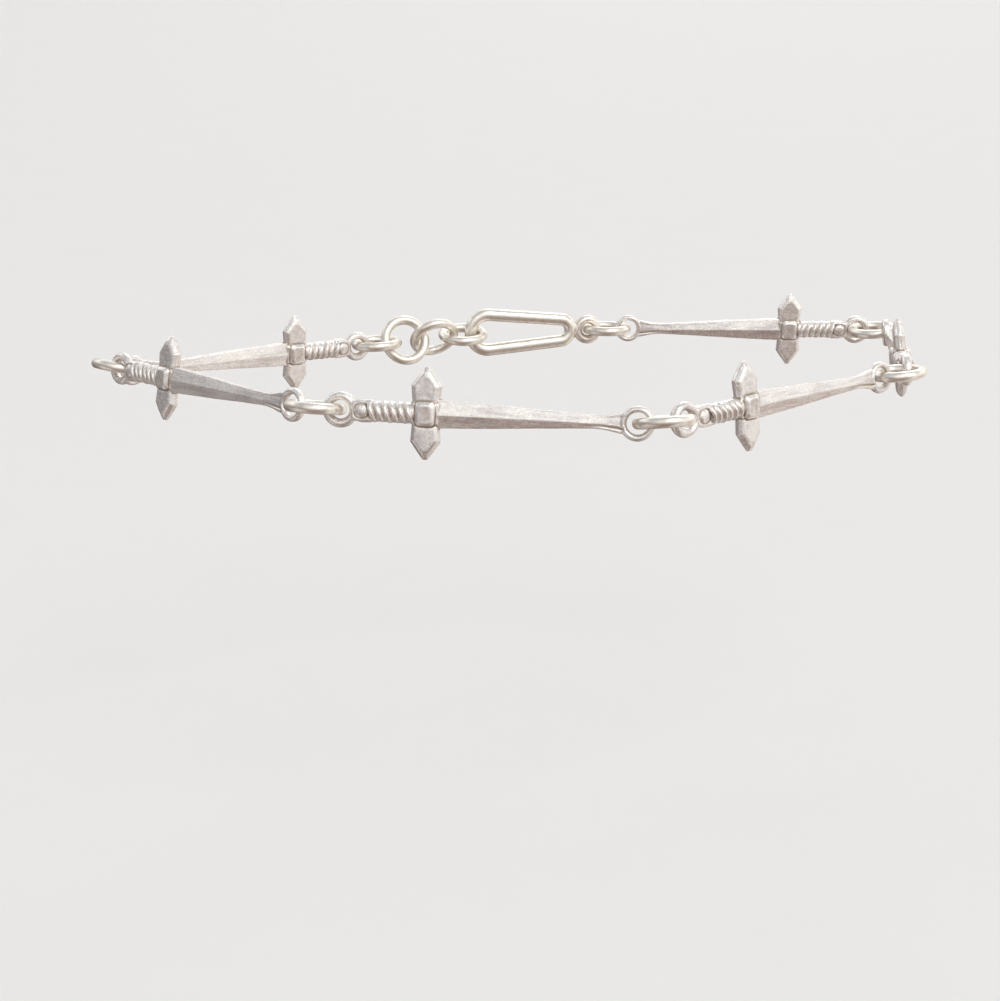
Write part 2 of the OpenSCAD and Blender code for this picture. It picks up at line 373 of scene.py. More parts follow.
def plate(edge, edge_t, face, face_t, crown=0.0):
    """A plate that stands in the sword's plane, with an upright edge and bevels up to a
    smaller raised face on each side. edge and face are outlines of x and z, and crown is how
    far the bevels swell out halfway."""
    halfway = [((x + face_x) / 2, (z + face_z) / 2) for (x, z), (face_x, face_z) in zip(edge, face)]
    half_t = (edge_t + face_t) / 2 + 2 * crown
    layers = [(face, face_t), (halfway, half_t), (edge, edge_t)]
    rows = [(outline, -t / 2) for outline, t in layers]
    rows += [(outline, t / 2) for outline, t in layers[::-1]]
    return skinned([[(x, y, z) for x, z in outline] for outline, y in rows])


def rounded_rectangle(width, height, corner, steps=5):
    """Outline of a rectangle with round corners."""
    points = []
    for quarter in range(4):
        for step in range(steps):
            angle = math.radians(90 * (quarter + step / (steps - 1)))
            side_x = math.copysign(width / 2 - corner, math.cos(math.radians(90 * quarter + 45)))
            side_z = math.copysign(height / 2 - corner, math.sin(math.radians(90 * quarter + 45)))
            points.append((side_x + corner * math.cos(angle), side_z + corner * math.sin(angle)))
    return points


def moved(mesh, *matrices):
    """The mesh after the matrices, of which the last one acts first."""
    whole = Matrix.Identity(4)
    for matrix in matrices:
        whole = whole @ matrix
    mesh.transform(whole)
    return mesh


def full_turn(steps):
    """Angles in equal steps, once round."""
    return np.linspace(0, math.tau, steps + 1)[:-1]


STANDING = Matrix.Rotation(math.pi / 2, 4, "X")
PARTS = {}
print("plates, lofts and rings are ready")

# %% [markdown]
# The cross guard
#
# Two leaf-shaped arms, each with a flat grey face in a frame of wide swelling bevels, grow
# out of a collar. A rounded block stands on their crossing. All of them are plates with a
# smaller raised face, so one function makes them, and a mirrored outline gives the lower
# arm.

# %% Make the guard
ARM_EDGE_T = 0.30
ARM_CROWN = 0.10
# height as a share of half the guard's span, and half width as a share of an arm's width
ARM_EDGE = [(0.17, 0.45), (0.61, 0.50), (0.86, 0.23), (1.00, 0.07)]
ARM_FACE = [(0.17, 0.30), (0.57, 0.35), (0.73, 0.17), (0.80, 0.05)]
BLOCK = (1.75, 2.15)
BLOCK_CORNER = 0.42
BLOCK_EDGE_T = 1.62
BLOCK_FACE = (1.22, 1.62)
BLOCK_FACE_CORNER = 0.32
BLOCK_T = 2.1
COLLAR = (2.3, 1.9)
COLLAR_CORNER = 0.12
COLLAR_EDGE_T = 1.15
COLLAR_BEVEL = 0.1
COLLAR_FACE_CORNER = 0.1
COLLAR_T = 1.3


def arm_outline(rows, up):
    """Both sides of an arm, from rows of height and half width."""
    right = [(GUARD_X + width * ARM_W, up * height * GUARD_SPAN / 2) for height, width in rows]
    left = [(2 * GUARD_X - x, z) for x, z in reversed(right)]
    return right + left


def at_guard(size, corner):
    """A rectangle with round corners about the guard's middle."""
    return [(GUARD_X + x, z) for x, z in rounded_rectangle(*size, corner)]


def guard():
    arms = [plate(arm_outline(ARM_EDGE, up), ARM_EDGE_T, arm_outline(ARM_FACE, up), ARM_T, ARM_CROWN)
            for up in (1, -1)]
    block = plate(at_guard(BLOCK, BLOCK_CORNER), BLOCK_EDGE_T,
                  at_guard(BLOCK_FACE, BLOCK_FACE_CORNER), BLOCK_T)
    collar_face = [side - 2 * COLLAR_BEVEL for side in COLLAR]
    collar = plate(at_guard(COLLAR, COLLAR_CORNER), COLLAR_EDGE_T,
                   at_guard(collar_face, COLLAR_FACE_CORNER), COLLAR_T)
    return arms + [block, collar]


PARTS["guard"] = guard()
print("guard parts:", len(PARTS["guard"]))

# %% [markdown]
# The blade
#
# The blade narrows from the guard and flares again where it meets the tip ring. Its two
# slopes meet in a ridge on each side, which runs along the middle and sinks towards the
# lower edge in the flare. A short table says how high the blade is, how thick its edge and
# its ridge are and where the ridge lies, and smooth curves through the table give as many
# sections as the outline needs.

# %% Loft the blade through its table
BLADE = np.array([
    # place as a share of the pitch, height as a share of BLADE_H, edge and ridge as shares of
    # BLADE_T, and how far the ridge is above the middle as a share of the half height
    [0.320, 1.00, 0.62, 1.00, -0.05],
    [0.438, 0.90, 0.58, 0.96, -0.05],
    [0.588, 0.75, 0.55, 0.88, -0.08],
    [0.700, 0.62, 0.52, 0.80, -0.10],
    [0.792, 0.53, 0.48, 0.70, -0.16],
    [0.869, 0.47, 0.44, 0.60, -0.30],
    [0.912, 0.57, 0.42, 0.56, -0.36],
    [0.942, 0.73, 0.40, 0.52, -0.38],
    [0.957, 0.80, 0.36, 0.48, -0.38],
])
BLADE_SECTIONS = 90


def blade_at(share, column):
    """Smooth curve through a column of the table: a straight reading, eased by neighbours."""
    nearby = [share + offset for offset in (-0.02, -0.01, 0.0, 0.01, 0.02)]
    return sum(np.interp(x, BLADE[:, 0], BLADE[:, column]) for x in nearby) / len(nearby)


def blade_half_height(x):
    """Half height of the blade at a place along the sword."""
    return blade_at(x / SWORD_PITCH, 1) * BLADE_H / 2


def blade():
    sections = []
    for share in np.linspace(BLADE[0, 0], BLADE[-1, 0], BLADE_SECTIONS):
        x, top = share * SWORD_PITCH, blade_at(share, 1) * BLADE_H / 2
        edge, ridge = blade_at(share, 2) * BLADE_T / 2, blade_at(share, 3) * BLADE_T / 2
        middle = blade_at(share, 4) * top
        sections.append([(x, -edge, top), (x, edge, top), (x, ridge, middle),
                         (x, edge, -top), (x, -edge, -top), (x, -ridge, middle)])
    return skinned(sections)


PARTS["blade"] = [blade()]
print("blade height halfway in mm:", round(2 * float(blade_half_height(SWORD_PITCH * 0.6)), 2))

# %% [markdown]
# The grip and its cords
#
# The grip is wound with cords that lean. In the casting they are low rings, one beside the
# other, and no two are quite alike. Instance on Points puts a leaning ring on each point
# of a line, and Random Value with a fixed seed makes them uneven. They lie on an oval core
# that fills most of each ring, so their grooves are shallow, and deepest on the two faces.

# %% Wind the grip
CORDS = 6
CORDS_FROM = 2.85
CORDS_TO = 6.2
CORD_LEAN = 20
CORD_WIRE = 0.4
CORD_STEPS = 64
CORD_SIDES = 16
CORD_UNEVENNESS = 0.02
CORD_SEAT = 0.19
CORD_EDGE_SEAT = 0.1
# how the core starts behind the boss: place along the sword, and share of the core's size
CORE = [(2.58, 0.70), (2.84, 1.0)]
CORE_SIDES = 48


def cords_tree():
    tree, graph, given = new_tree("cords", {
        "Count": ("NodeSocketInt", 6),
        "Start": ("NodeSocketFloat", 0.0),
        "Pitch": ("NodeSocketFloat", 1.0),
        "Middle Radius": ("NodeSocketFloat", 1.0),
        "Wire": ("NodeSocketFloat", 0.5),
        "Lean": ("NodeSocketFloat", 0.3),
        "Unevenness": ("NodeSocketFloat", 0.03),
        "Seed": ("NodeSocketInt", 4),
        "Material": ("NodeSocketMaterial", None),
    })
    start = graph.add("ShaderNodeCombineXYZ", None, {"X": given["Start"]})
    offset = graph.add("ShaderNodeCombineXYZ", None, {"X": given["Pitch"]})
    line = graph.add("GeometryNodeMeshLine", {"mode": "OFFSET"},
                     {"Count": given["Count"], "Start Location": start, "Offset": offset})
    cord = swept_circle(graph, given["Middle Radius"], given["Wire"], CORD_STEPS, CORD_SIDES)
    uneven = graph.add("FunctionNodeRandomValue", {"data_type": "FLOAT"},
                       {2: given["Unevenness"] * -1.0, 3: given["Unevenness"],
                        "Seed": given["Seed"]}, output=1)
    turn = graph.add("ShaderNodeCombineXYZ", None,
                     {"Y": math.pi / 2 - given["Lean"] + uneven * 2.0})
    size = uneven + 1.0
    scale = graph.add("ShaderNodeCombineXYZ", None, {"X": size, "Y": size, "Z": size})
    wound = graph.add("GeometryNodeInstanceOnPoints", None,
                      {"Points": line, "Instance": cord, "Rotation": turn, "Scale": scale})
    finish_tree(graph, wound, given["Material"])
    return tree


def grip():
    cords = grow(cords_tree(), count=CORDS, start=CORDS_FROM, wire=CORD_WIRE,
                 pitch=(CORDS_TO - CORDS_FROM) / (CORDS - 1), middle_radius=(GRIP - CORD_WIRE) / 2,
                 lean=math.radians(CORD_LEAN), unevenness=CORD_UNEVENNESS, seed=4)
    depth, height = GRIP / 2 - CORD_SEAT, GRIP / 2 - CORD_EDGE_SEAT
    oval = [(depth * math.cos(a), height * math.sin(a)) for a in full_turn(CORE_SIDES)]
    core = [[(x, y * share, z * share) for y, z in oval] for x, share in CORE + [(GUARD_X, 1.0)]]
    return [cords, skinned(core)]


PARTS["grip"] = grip()
print("cord faces:", len(PARTS["grip"][0].polygons))

# %% [markdown]
# The pommel
#
# The pommel is the ring that the chain pulls on, a neck behind it, and a round boss set
# into each face of the neck. The neck is one more plate, and a boss is a flattened ball. The
# far end of the sword has only a ring.

# %% Make the pommel and the tip ring
NECK_H = 2.0
NECK_T = 1.1
# where the neck leaves the ring and where it has its full height, in radii of the ring
NECK_START = 0.72
NECK_FULL = 1.2
NECK_START_SHARE = 0.84
NECK_FACE_SHARE = 0.82
NECK_EDGE_SHARE = 0.7
BALL_X = 1.95
BALL = 1.25
BALL_RISE = 0.53
BALL_FLATNESS = 0.38
BALL_STEPS = 48


def standing_ring(outer, wire, depth):
    """A ring that stands in the sword's plane and is a little thicker out of it."""
    return moved(wire_ring(outer, wire), Matrix.Diagonal((1, depth / wire, 1, 1)), STANDING)


def pommel():
    half = NECK_H / 2
    upper = [(NECK_START * POMMEL_RING / 2, NECK_START_SHARE * half),
             (NECK_FULL * POMMEL_RING / 2, half), (CORDS_FROM, half)]
    outline = upper + [(x, -z) for x, z in reversed(upper)]
    face = [(x, z * NECK_FACE_SHARE) for x, z in outline]
    neck = plate(outline, NECK_T * NECK_EDGE_SHARE, face, NECK_T)
    balls = []
    for side in (-1, 1):
        shape = bmesh.new()
        bmesh.ops.create_uvsphere(shape, u_segments=BALL_STEPS, v_segments=BALL_STEPS // 2,
                                  radius=BALL / 2)
        balls.append(moved(as_mesh(shape, "ball"),
                           Matrix.Translation((BALL_X, side * BALL_RISE, 0)),
                           Matrix.Diagonal((1, BALL_FLATNESS, 1, 1))))
    return [standing_ring(POMMEL_RING, POMMEL_WIRE, POMMEL_DEPTH), neck, *balls]


def tip():
    ring = standing_ring(TIP_RING, TIP_WIRE, TIP_DEPTH)
    return [moved(ring, Matrix.Translation((SWORD_PITCH, 0, 0)))]


PARTS["pommel"] = pommel()
PARTS["tip"] = tip()
print("pommel parts:", len(PARTS["pommel"]))

# %% [markdown]
# Melting the parts into one casting
#
# Overlapping shapes look assembled. A real casting has one skin, with a little roundness
# in every corner, because wax and metal both round off. Voxel remeshing makes that skin,
# and a few rounds of averaging ease it. Averaging alone shrinks thin parts, so each round
# goes in and then slightly further out again.

# %% Fuse and ease the casting
VOXEL = 0.06
EASE_ROUNDS = 7
EASE_PULLS = (0.5, -0.52)


def averaged(values, edges, rounds=1):
    """Values on a mesh's points, replaced by the mean of their neighbours' as often as asked."""
    count = len(values)
    share = np.bincount(edges.ravel(), minlength=count)[:, None]
    for _ in range(rounds):
        sums = [np.bincount(edges[:, 0], values[edges[:, 1], k], count)
                + np.bincount(edges[:, 1], values[edges[:, 0], k], count) for k in range(3)]
        values = np.stack(sums, axis=1) / share
    return values


def points_of(mesh):
    points = np.zeros(len(mesh.vertices) * 3)
    mesh.vertices.foreach_get("co", points)
    return points.reshape(-1, 3)


def normals_of(mesh):
    normals = np.zeros(len(mesh.vertices) * 3)
    mesh.vertex_normals.foreach_get("vector", normals)
    return normals.reshape(-1, 3)


def edges_of(mesh):
    edges = np.zeros(len(mesh.edges) * 2, np.int32)
    mesh.edges.foreach_get("vertices", edges)
    return edges.reshape(-1, 2)


def set_points(mesh, points):
    mesh.vertices.foreach_set("co", points.ravel())
    mesh.update()


def fused(mesh, voxel, ease_rounds):
    """One closed skin round overlapping closed shapes, eased without losing its volume."""
    holder = bpy.data.objects.new("fusing", mesh)
    bpy.context.scene.collection.objects.link(holder)
    remesh = holder.modifiers.new("voxels", "REMESH")
    remesh.mode, remesh.voxel_size, remesh.use_smooth_shade = "VOXEL", voxel, True
    view = bpy.context.evaluated_depsgraph_get()
    skin = bpy.data.meshes.new_from_object(holder.evaluated_get(view))
    bpy.data.objects.remove(holder)
    points, edges = points_of(skin), edges_of(skin)
    for _ in range(ease_rounds):
        for pull in EASE_PULLS:
            points = points + pull * (averaged(points, edges) - points)
    set_points(skin, points)
    return skin


shapes = [mesh for part in ("pommel", "grip", "guard", "blade", "tip") for mesh in PARTS[part]]
CASTING = fused(joined("casting", shapes), VOXEL, EASE_ROUNDS)
print("casting: faces", len(CASTING.polygons), "triangles", 2 * len(CASTING.polygons),
      "box in mm", (points_of(CASTING).max(0) - points_of(CASTING).min(0)).round(2))

# %% [markdown]
# Cutting the fine lines
#
# The mould holds lines that a graver cut: round the boss, round the foot of the block, and
# two narrow hollows that split the blade into a middle band and two rims where it flares
# into the tip ring. The upper hollow is hardly cut at all, and the line round the block
# fades towards the top. Each line is a distance field. Points of the skin near a line move
# in along their normals, by a depth that dies away smoothly to both sides.

# %% Engrave the casting
LINE_WIDTH = 0.10
BOSS_LINE_GAP = 0.04
BOSS_LINE_DEPTH = 0.03
# how far out of the middle plane a point can be and still lie on the neck, not on the boss
BOSS_LINE_BELOW = 0.75
BLOCK_LINE_GAP = 0.05
BLOCK_LINE_CORNER = 0.36
BLOCK_LINE_DEPTH = 0.04
# heights on the block between which its line fades, down to a share of its depth. A step
# to the right counts as half a step up
BLOCK_LINE_FADE = (-0.4, 0.9)
BLOCK_LINE_SLANT = 0.5
SHALLOW_SHARE = 0.2
FORK_WIDTH = 0.11
FORK_DEPTH = 0.10
UPPER_FORK_SHARE = 0.15
# start, full depth and end as shares of the pitch, and place as a share of the half height
FORK_START = 0.82
FORK_FULL = 0.93
FORK_END = 0.955
FORK_PLACE = 0.56
# a line is cut only where the skin faces out of the sword: not at all below the first share
# of its normal and fully above the second
FACING = (0.35, 0.75)


def line_profile(distance, width=LINE_WIDTH):
    """1 on a line, and less and less away from it."""
    return np.exp(-(distance / width) ** 2)


def smooth_step(low, high, value):
    """0 below low, 1 above high and a smooth step in between."""
    share = np.clip((value - low) / (high - low), 0, 1)
    return share * share * (3 - 2 * share)


def rectangle_distance(x, z, width, height, corner):
    """Distance from the outline of a rectangle with round corners, less than 0 inside it."""
    out_x, out_z = np.abs(x) - width / 2 + corner, np.abs(z) - height / 2 + corner
    outside = np.hypot(np.maximum(out_x, 0), np.maximum(out_z, 0))
    return outside + np.minimum(np.maximum(out_x, out_z), 0) - corner


def engrave(mesh):
    points, normals = points_of(mesh), normals_of(mesh)
    x, y, z = points.T
    flat = smooth_step(*FACING, np.abs(normals[:, 1]))
    boss = line_profile(np.hypot(x - BALL_X, z) - BALL / 2 - BOSS_LINE_GAP)
    foot_size = [side + 2 * BLOCK_LINE_GAP for side in BLOCK]
    foot = line_profile(rectangle_distance(x - GUARD_X, z, *foot_size, BLOCK_LINE_CORNER))
    height = (x - GUARD_X) * BLOCK_LINE_SLANT + z
    foot *= 1 - (1 - SHALLOW_SHARE) * smooth_step(*BLOCK_LINE_FADE, height)
    on_blade = smooth_step(FORK_START, FORK_FULL, x / SWORD_PITCH) * (x < FORK_END * SWORD_PITCH)
    lane = np.abs(z) - FORK_PLACE * blade_half_height(x)
    fork = line_profile(lane, FORK_WIDTH) * on_blade * np.where(z > 0, UPPER_FORK_SHARE, 1.0)
    depth = flat * (BOSS_LINE_DEPTH * boss * (np.abs(y) < BOSS_LINE_BELOW)
                    + BLOCK_LINE_DEPTH * foot + FORK_DEPTH * fork)
    set_points(mesh, points - normals * depth[:, None])


engrave(CASTING)
print("engraved lines follow the boss, the block's foot and the fork by the tip ring")

# %% [markdown]
# Knowing hollows from ridges
#
# Old silver is dark where a cloth can't reach and bright where it rubs. Here the dark in
# the hollows is also painted shade, for the light that doesn't reach into them. The script
# finds hollows and ridges from the shape: a point that lies below the average of its
# surroundings is in a hollow, and one above it is on a ridge. Two sizes of surroundings
# tell sharp grooves from broad corners. The flat face of the block counts as a slight hollow
# too, though it isn't one, so that painted shade greys it. The results are stored on the
# mesh, where the material reads them.

# %% Measure hollows and ridges
FINE_ROUNDS = 8
FINE_SHARE = 0.75
FINE_HOLLOW = 0.045
BROAD_ROUNDS = 70
BROAD_SHARE = 0.6
BROAD_HOLLOW = 0.22
# painted shade on the block's face as a share of a full hollow, how far inside its outline
# that comes in, and the distance from the middle plane past which a point lies on the face
BLOCK_SHADE = 0.27
BLOCK_SHADE_EDGE = (-0.1, 0.25)
BLOCK_SHADE_ABOVE = 0.9


def store(mesh, name, values):
    """Keeps a number or a vector for each point of a mesh under a name."""
    kind = "FLOAT" if values.ndim == 1 else "FLOAT_VECTOR"
    attribute = mesh.attributes.new(name, kind, "POINT")
    attribute.data.foreach_set("value" if values.ndim == 1 else "vector",
                               values.astype(np.float32).ravel())


def block_shade(mesh):
    """How hollow the flat face of the block counts, which paints shade on it."""
    x, y, z = points_of(mesh).T
    inside = -rectangle_distance(x - GUARD_X, z, *BLOCK_FACE, BLOCK_FACE_CORNER)
    return BLOCK_SHADE * smooth_step(*BLOCK_SHADE_EDGE, inside) * (np.abs(y) > BLOCK_SHADE_ABOVE)


def store_relief(mesh, fine_scale, broad_scale, least_hollow=0.0):
    """Stores how hollow, how worn and where each point is. Each scale is the height in
    millimetres that counts as a full hollow."""
    points, edges, normals = points_of(mesh), edges_of(mesh), normals_of(mesh)
    near = averaged(points, edges, FINE_ROUNDS)
    far = averaged(near, edges, BROAD_ROUNDS - FINE_ROUNDS)
    fine = np.einsum("ij,ij->i", near - points, normals) / fine_scale
    broad = np.einsum("ij,ij->i", far - points, normals) / broad_scale
    depth = FINE_SHARE * np.maximum(fine, 0) + BROAD_SHARE * np.maximum(broad, 0)
    # A least hollow paints shade where the shape itself has none, as on the block's face.
    hollow = np.clip(depth, least_hollow, 1)
    worn = np.clip(-fine, 0, 1)
    store(mesh, "hollow", hollow)
    store(mesh, "worn", worn)
    store(mesh, "place", points)
    return hollow, worn


# The block's face gets painted shade through its least hollow.
hollow, worn = store_relief(CASTING, FINE_HOLLOW, BROAD_HOLLOW, block_shade(CASTING))
print("share of the casting that is hollow:", round(float((hollow > 0.5).mean()), 3),
      "and worn:", round(float((worn > 0.5).mean()), 3))

# %% [markdown]
# Cast silver
#
# Silver has almost no colour of its own, so its look is its roughness. This silver is
# satin: a mottled sheen where it was tumbled, hair-fine scratches along the blade, a
# brown-grey darkening in every hollow that is partly tarnish and partly painted shade, and
# bright smooth metal on the ridges. Tarnish isn't metal, so it also takes some of the
# metallic shine away.
#
# Most patterns read Object coordinates in millimetres, and so differ from sword to sword.
# The long scratches and the streaks follow the place in the sword, because they run along
# it.


# %% Write the helpers that both silvers share
def in_millimetres(graph):
    """The piece's own coordinates, in millimetres."""
    spot = graph.add("ShaderNodeTexCoord").out("Object")
    return graph.add("ShaderNodeVectorMath", {"operation": "SCALE"}, {0: spot, "Scale": 1 / MM})


def cloud(graph, spot, scale, detail, roughness=0.55):
    """Soft noise from 0 to 1 with the given number of lumps in a millimetre."""
    return graph.add("ShaderNodeTexNoise", None,
                     {"Vector": spot, "Scale": scale, "Detail": detail, "Roughness": roughness})


def between(graph, value, low, high):
    """0 below low, 1 above high and a smooth step in between."""
    return graph.add("ShaderNodeMapRange", {"interpolation_type": "SMOOTHSTEP"},
                     {"Value": value, "From Min": low, "From Max": high})


def blend(graph, share, first, second):
    """A colour between two colours."""
    values = {0: share}
    for key, colour in ((6, first), (7, second)):
        values[key] = colour if isinstance(colour, Value) else (*colour, 1.0)
    return graph.add("ShaderNodeMix", {"data_type": "RGBA"}, values, output=2)


def stored(graph, name, output="Fac"):
    """What the script stored on the mesh: a number, or with output Vector a place."""
    return graph.add("ShaderNodeAttribute", {"attribute_name": name}).out(output)


def stretched(graph, spot, lumps, detail):
    """Soft noise with a different number of lumps in a millimetre along each axis."""
    scaled = graph.add("ShaderNodeVectorMath", {"operation": "MULTIPLY"}, {0: spot, 1: lumps})
    return cloud(graph, scaled, 1.0, detail=detail)


def scratches(graph, spot, lumps, width):
    """Hair lines: the places where a stretched noise passes through its middle value."""
    level = stretched(graph, spot, lumps, 1.0)
    return 1.0 - between(graph, abs(level - 0.5), 0.0, width)


def bumpy(graph, height, strength, depth):
    """The normal of a surface with fine relief, whose depth is in millimetres."""
    return graph.add("ShaderNodeBump", None,
                     {"Strength": strength, "Distance": depth * MM, "Height": height})


def new_metal(name):
    """A new material, its graph, and its shader."""
    material = bpy.data.materials.new(name)
    material.use_nodes = True
    shader = material.node_tree.nodes["Principled BSDF"]
    return material, Graph(material.node_tree), shader


def connect(graph, shader, **sockets):
    """Feeds the shader's sockets, named in lower case with underscores."""
    for name, value in sockets.items():
        graph.tree.links.new(value.socket, shader.inputs[name.replace("_", " ").title()])


print("finish helpers are ready")

# %% Mix the cast silver
BRIGHT = (0.93, 0.905, 0.875)
CLOUDED = (0.76, 0.715, 0.705)
TARNISH_BROWN = (0.44, 0.33, 0.28)
TARNISH_OLIVE = (0.43, 0.39, 0.28)
# the darkest colour deep in the hollows, partly tarnish and partly painted shade
TARNISH_AND_SHADE_DEEP = (0.15, 0.115, 0.10)
# lumps in a millimetre, as one number or along each axis
PATCH_LUMPS = 0.35
MOTTLE_LUMPS = 2.2
GRAIN_LUMPS = 16.0
LONG_SCRATCH_LUMPS = (0.7, 9.0, 9.0)
CROSS_SCRATCH_LUMPS = (3.0, 2.2, 0.9)
STREAK_LUMPS = (0.35, 3.2, 3.2)
STREAKS_FROM = BLADE[0, 0] * SWORD_PITCH
STREAKS_EASE = 0.8
# how near its middle value a noise has to come to be a scratch
LONG_SCRATCH_WIDTH = 0.03
HAIR_WIDTH = 0.012
# values of a pattern between which its effect comes in
OLIVE_FROM_TO = (0.4, 0.62)
CLOUDS_FROM_TO = (0.66, 1.0)
# the darkening in hollows, and its darkest part below, are partly tarnish and partly painted shade
TARNISH_AND_SHADE_FROM_TO = (0.08, 0.5)
DEEP_TARNISH_AND_SHADE_FROM_TO = (0.55, 1.0)
BUMP_STRENGTH = 0.45
BUMP_DEPTH = 0.03


def tarnish_with_shade(graph, patches, deep_tarnish_and_shade):
    """Tarnish that turns from brown to olive from patch to patch, and is darkest deep down, where
    painted shade darkens it too.
    """
    tint = blend(graph, between(graph, patches, *OLIVE_FROM_TO), TARNISH_BROWN, TARNISH_OLIVE)
    return blend(graph, deep_tarnish_and_shade, tint, TARNISH_AND_SHADE_DEEP)


def cast_silver():
    material, graph, shader = new_metal("cast_silver")
    spot = in_millimetres(graph)
    hollow, worn = stored(graph, "hollow"), stored(graph, "worn")
    patches = cloud(graph, spot, PATCH_LUMPS, detail=2.0)
    mottle = cloud(graph, spot, MOTTLE_LUMPS, detail=4.0, roughness=0.6)
    grain = cloud(graph, spot, GRAIN_LUMPS, detail=2.0)
    place = stored(graph, "place", "Vector")
    lines = scratches(graph, place, LONG_SCRATCH_LUMPS, LONG_SCRATCH_WIDTH)
    crossing = scratches(graph, spot, CROSS_SCRATCH_LUMPS, HAIR_WIDTH)
    streaks = stretched(graph, place, STREAK_LUMPS, 3.0)
    along = graph.add("ShaderNodeSeparateXYZ", None, {"Vector": place}).out("X")
    on_blade = between(graph, along, STREAKS_FROM, STREAKS_FROM + STREAKS_EASE)
    stains = mottle + (streaks - mottle) * on_blade

    clouded = between(graph, stains + patches * 0.6, *CLOUDS_FROM_TO) * (1.0 - worn * 0.8)
    metal = blend(graph, clouded, BRIGHT, CLOUDED)
    # Hollows turn darker, rougher and less metallic: partly tarnish and partly painted shade.
    tarnish_and_shade = between(graph, hollow + (mottle - 0.5) * 0.4, *TARNISH_AND_SHADE_FROM_TO)
    # The deepest hollows go darkest of all, partly tarnish and partly painted shade.
    deep_tarnish_and_shade = between(graph, hollow, *DEEP_TARNISH_AND_SHADE_FROM_TO)
    shaded_tarnish = tarnish_with_shade(graph, patches, deep_tarnish_and_shade)
    height = grain * 0.35 + mottle * 1.3 - lines * 0.35 - crossing * 0.5
    connect(graph, shader, base_color=blend(graph, tarnish_and_shade * 0.9, metal, shaded_tarnish),
            metallic=1.0 - tarnish_and_shade * 0.2,
            roughness=0.2 + mottle * 0.14 + tarnish_and_shade * 0.2 + lines * 0.05 - worn * 0.05,
            normal=bumpy(graph, height, BUMP_STRENGTH, BUMP_DEPTH))
    return material


CAST_SILVER = cast_silver()
print("cast silver has", len(CAST_SILVER.node_tree.nodes), "nodes")

# %% [markdown]
# Drawn silver wire
#
# The jump rings and the clasp are bent from wire that was pulled through a steel plate. It
# is smoother, warmer and brighter than a casting, with few hollows for tarnish to sit in.

# %% Mix the wire silver
WIRE_BRIGHT = (0.94, 0.905, 0.845)
WIRE_CLOUDED = (0.78, 0.72, 0.63)
WIRE_MOTTLE_LUMPS = 1.5
WIRE_GRAIN_LUMPS = 18.0
NICK_LUMPS = (2.0, 1.6, 3.2)
WIRE_CLOUDS_FROM_TO = (0.42, 0.72)
# hollows of the clasp darken, partly tarnish and partly painted shade
WIRE_TARNISH_AND_SHADE_FROM_TO = (0.3, 0.9)
WIRE_DEEP_TARNISH_AND_SHADE_FROM_TO = (0.7, 1.1)
WIRE_BUMP_STRENGTH = 0.25
WIRE_BUMP_DEPTH = 0.02


def wire_silver():
    material, graph, shader = new_metal("wire_silver")
    spot = in_millimetres(graph)
    mottle = cloud(graph, spot, WIRE_MOTTLE_LUMPS, detail=3.0)
    grain = cloud(graph, spot, WIRE_GRAIN_LUMPS, detail=2.0)
    nicks = scratches(graph, spot, NICK_LUMPS, HAIR_WIDTH)
    hollow = stored(graph, "hollow")
    clouded = between(graph, mottle, *WIRE_CLOUDS_FROM_TO)
    # Hollows of the clasp get the same tarnish and painted shade as the casting; the rings have none.
    tarnish_and_shade = between(graph, hollow + (mottle - 0.5) * 0.4, *WIRE_TARNISH_AND_SHADE_FROM_TO)
    metal = blend(graph, clouded, WIRE_BRIGHT, WIRE_CLOUDED)
    shaded_tarnish = tarnish_with_shade(graph, mottle, between(graph, hollow, *WIRE_DEEP_TARNISH_AND_SHADE_FROM_TO))
    height = grain * 0.25 + mottle - nicks * 0.5
    connect(graph, shader, base_color=blend(graph, tarnish_and_shade, metal, shaded_tarnish),
            metallic=1.0 - tarnish_and_shade * 0.25, roughness=0.24 + mottle * 0.14 + tarnish_and_shade * 0.25,
            normal=bumpy(graph, height, WIRE_BUMP_STRENGTH, WIRE_BUMP_DEPTH))
    return material


WIRE_SILVER = wire_silver()
print("wire silver has", len(WIRE_SILVER.node_tree.nodes), "nodes")

# %% [markdown]
# Laying the swords in the chain
#
# One casting serves all six swords, but a file and a polishing wheel touch each one in
# their own way. So each copy is laid on its solid first, and then a little noise that
# differs from place to place moves its skin by a few hundredths of a millimetre, less at
# the two rings, which have to stay free.

# %% Lay the swords
WAVE = 0.022
WAVE_LUMPS = 0.55
RIPPLE = 0.006
RIPPLE_LUMPS = 2.3
# places along the sword between which the full noise comes in and goes out again
WAVES_START = (1.6, 3.0)
WAVES_END = (23.5, 25.0)
RING_WAVE_SHARE = 0.25


def made_uneven(mesh, strength):
    """Moves a skin that is already in place along its normals by smooth noise. Points are in
    metres, and strength gives each point's share of the full movement."""
    points, normals = points_of(mesh) / MM, normals_of(mesh)
    broad = np.array([noise.noise(Vector(p * WAVE_LUMPS)) for p in points])
    fine = np.array([noise.noise(Vector(p * RIPPLE_LUMPS)) for p in points])
    shift = (WAVE * broad + RIPPLE * fine) * strength
    set_points(mesh, (points + normals * shift[:, None]) * MM)


def lay(name, mesh, material):
    """Adds a mesh that is already in place as the piece that stands for a solid."""
    mesh.name = name + "_metal"
    mesh.materials.clear()
    mesh.materials.append(material)
    mesh.shade_smooth()
    piece = bpy.data.objects.new(name + "_metal", mesh)
    bpy.context.scene.collection.objects.link(piece)
    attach(piece, "root")
    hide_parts(name)


